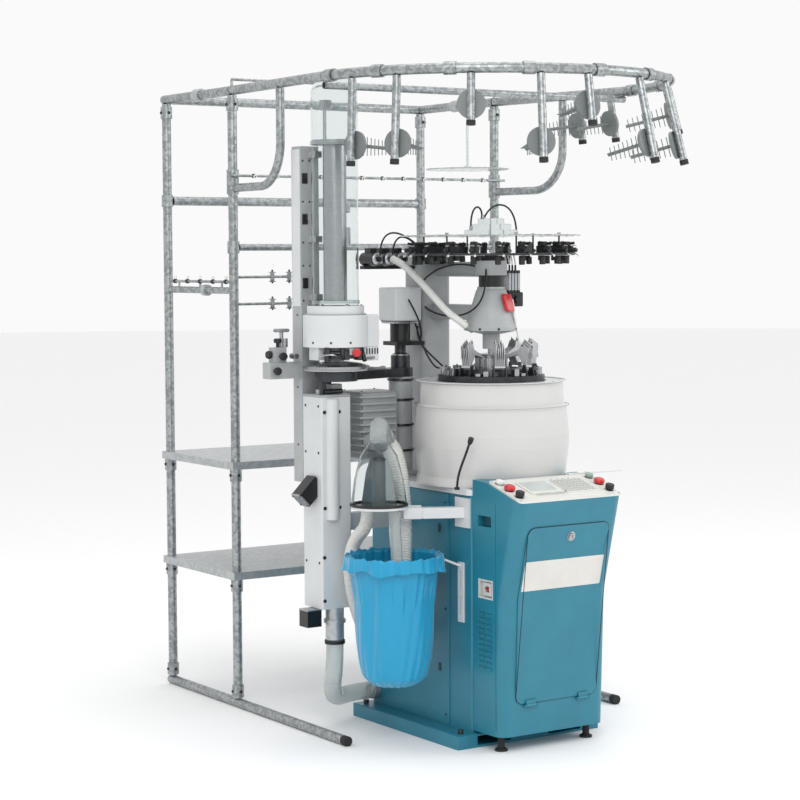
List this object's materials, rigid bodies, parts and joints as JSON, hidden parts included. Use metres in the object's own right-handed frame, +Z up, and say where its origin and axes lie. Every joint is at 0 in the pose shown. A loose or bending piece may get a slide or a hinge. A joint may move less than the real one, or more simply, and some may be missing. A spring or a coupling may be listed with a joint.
{
  "type": "circular knitting machine",
  "caption": "Sock knitting machine with a needle cylinder in a drum, a control box, a toe-linking unit, a collecting bag and a tube stand with a yarn creel ring.",
  "frame": {"origin": "On the floor, on the axis of the needle cylinder.", "axes": "+Z up; +X the machine's right as its operator faces it; -Y towards the operator."},
  "size_m": [1.4109, 1.9278, 2.295],
  "materials": {
    "teal_paint": "teal powder coat",
    "white_paint": "white powder coat",
    "cast_grey": "grey enamelled casting",
    "bed_steel": "pale grey enamel",
    "machined_steel": "ground steel",
    "black_motor": "black enamel",
    "dark_parts": "black glass-filled nylon",
    "galvanised": "hot-dip galvanised",
    "panel_grey": "moulded pale grey",
    "red_plastic": "moulded red",
    "black_plastic": "moulded black",
    "white_plastic": "moulded white",
    "green_plastic": "moulded grey-green",
    "clear_plastic": "clear acrylic",
    "grey_plastic": "grey PVC",
    "shelf_laminate": "pale sheet steel",
    "bag_cloth": "woven nylon",
    "hose_white": "flexible ribbed vinyl",
    "rubber_black": "black rubber",
    "wire_steel": "plated wire",
    "anodised": "bead blasted aluminium"
  },
  "bodies": {
    "machine": {"base_plate": "teal_paint", "cabinet_shell": "teal_paint", "side_panels": "teal_paint", "bed_plate": "bed_steel", "main_motor": "cast_grey", "drive_belt": "rubber_black", "control_box": "teal_paint", "operator_panel": "panel_grey", "breaker_body": "white_plastic", "drum_cover": "white_paint", "drum_ring": "white_paint", "cam_housing": "cast_grey", "head_pillar": "cast_grey", "selector_ring": "anodised", "yarn_devices": "dark_parts", "yarn_disc": "clear_plastic", "air_valves": "dark_parts", "stand_frame": "galvanised", "creel_ring": "galvanised", "thread_rods": "galvanised", "tube_clamps": "galvanised", "shelves": "shelf_laminate", "drop_tubes": "galvanised", "end_plugs": "black_plastic", "bobbin_pegs": "dark_parts", "guide_disc": "clear_plastic", "link_box": "white_paint", "link_column": "white_paint", "link_head": "cast_grey", "servo_motors": "black_motor", "link_tube": "clear_plastic", "suction_fittings": "grey_plastic", "air_unit": "cast_grey", "sock_bell": "clear_plastic", "bell_bracket": "white_paint", "collecting_bag": "bag_cloth", "bag_holder": "wire_steel", "air_hose": "hose_white", "sock_hoses": "hose_white", "suction_hoses": "hose_white"},
    "cylinder": {"needle_cylinder": "machined_steel"},
    "dial": {"dial_cutter": "machined_steel"},
    "motor_pulley": {"motor_pulley": "machined_steel"},
    "feeder_1": {"yarn_feeder_1": "anodised"},
    "feeder_2": {"yarn_feeder_2": "anodised"},
    "feeder_3": {"yarn_feeder_3": "anodised"},
    "feeder_4": {"yarn_feeder_4": "anodised"},
    "feeder_5": {"yarn_feeder_5": "anodised"},
    "door": {"control_door": "teal_paint"},
    "lock": {"door_lock": "wire_steel"},
    "breaker_toggle": {"breaker_toggle": "red_plastic"},
    "start_left": {"start_button_left": "white_plastic"},
    "stop_left": {"stop_button_left": "red_plastic"},
    "jog_left": {"jog_button_left": "black_plastic"},
    "start_right": {"start_button_right": "green_plastic"},
    "stop_right": {"stop_button_right": "red_plastic"},
    "jog_right": {"jog_button_right": "black_plastic"},
    "arm": {"transfer_arm": "cast_grey"},
    "ring": {"link_ring": "machined_steel"},
    "lift": {"lift_tube": "grey_plastic"}
  },
  "joints": [
    {"name": "cylinder_spin", "type": "hinge", "parent": "machine", "child": "cylinder", "pos_m": [0, 0, 1.2], "axis": [0, 0, 1], "continuous": true},
    {"name": "dial_spin", "type": "hinge", "parent": "machine", "child": "dial", "pos_m": [0, 0, 1.4], "axis": [0, 0, 1], "continuous": true},
    {"name": "motor_spin", "type": "hinge", "parent": "machine", "child": "motor_pulley", "pos_m": [0, 0.27, 0.8], "axis": [0, 0, 1], "continuous": true},
    {"name": "feeder_tilt_1", "type": "hinge", "parent": "machine", "child": "feeder_1", "pos_m": [-0.14095, -0.0513, 1.272], "axis": [0.342, -0.9397, 0], "range_deg": [0, 25]},
    {"name": "feeder_tilt_2", "type": "hinge", "parent": "machine", "child": "feeder_2", "pos_m": [-0.06339, -0.13595, 1.272], "axis": [0.9063, -0.4226, 0], "range_deg": [0, 25]},
    {"name": "feeder_tilt_3", "type": "hinge", "parent": "machine", "child": "feeder_3", "pos_m": [0.0513, -0.14095, 1.272], "axis": [0.9397, 0.342, 0], "range_deg": [0, 25]},
    {"name": "feeder_tilt_4", "type": "hinge", "parent": "machine", "child": "feeder_4", "pos_m": [0.13595, -0.06339, 1.272], "axis": [0.4226, 0.9063, 0], "range_deg": [0, 25]},
    {"name": "feeder_tilt_5", "type": "hinge", "parent": "machine", "child": "feeder_5", "pos_m": [0.14095, 0.0513, 1.272], "axis": [-0.342, 0.9397, 0], "range_deg": [0, 25]},
    {"name": "door_open", "type": "hinge", "parent": "machine", "child": "door", "pos_m": [0, -0.36799, 0.157], "axis": [1, 0, 0], "range_deg": [0, 90]},
    {"name": "lock_turn", "type": "hinge", "parent": "door", "child": "lock", "pos_m": [0.017, -0.42629, 0.72], "axis": [0, -0.9707, -0.2405], "range_deg": [0, 90]},
    {"name": "toggle_flip", "type": "hinge", "parent": "machine", "child": "breaker_toggle", "pos_m": [-0.208, -0.268, 0.543], "axis": [0, 1, 0], "range_deg": [-40, 15]},
    {"name": "start_left_press", "type": "slide", "parent": "machine", "child": "start_left", "axis": [0, 0.2844, -0.9587], "range_m": [0, 0.004], "stiffness_N_per_m": 300},
    {"name": "stop_left_press", "type": "slide", "parent": "machine", "child": "stop_left", "axis": [0, 0.2844, -0.9587], "range_m": [0, 0.004], "stiffness_N_per_m": 300},
    {"name": "jog_left_press", "type": "slide", "parent": "machine", "child": "jog_left", "axis": [0, 0.2844, -0.9587], "range_m": [0, 0.004], "stiffness_N_per_m": 300},
    {"name": "start_right_press", "type": "slide", "parent": "machine", "child": "start_right", "axis": [0, 0.2844, -0.9587], "range_m": [0, 0.004], "stiffness_N_per_m": 300},
    {"name": "stop_right_press", "type": "slide", "parent": "machine", "child": "stop_right", "axis": [0, 0.2844, -0.9587], "range_m": [0, 0.004], "stiffness_N_per_m": 300},
    {"name": "jog_right_press", "type": "slide", "parent": "machine", "child": "jog_right", "axis": [0, 0.2844, -0.9587], "range_m": [0, 0.004], "stiffness_N_per_m": 300},
    {"name": "arm_swing", "type": "hinge", "parent": "machine", "child": "arm", "pos_m": [-0.16, 0.33, 1.24], "axis": [0, 0, 1], "range_deg": [0, 48]},
    {"name": "ring_spin", "type": "hinge", "parent": "machine", "child": "ring", "pos_m": [-0.496, 0.222, 1.28], "axis": [0, 0, 1], "continuous": true},
    {"name": "tube_lift", "type": "slide", "parent": "machine", "child": "lift", "axis": [0, 0, 1], "range_m": [-0.2, 0.02]}
  ],
  "couplings": [
    {"joint": "dial_spin", "follows": "cylinder_spin", "ratio": 1},
    {"joint": "motor_spin", "follows": "cylinder_spin", "ratio": 2.5}
  ]
}
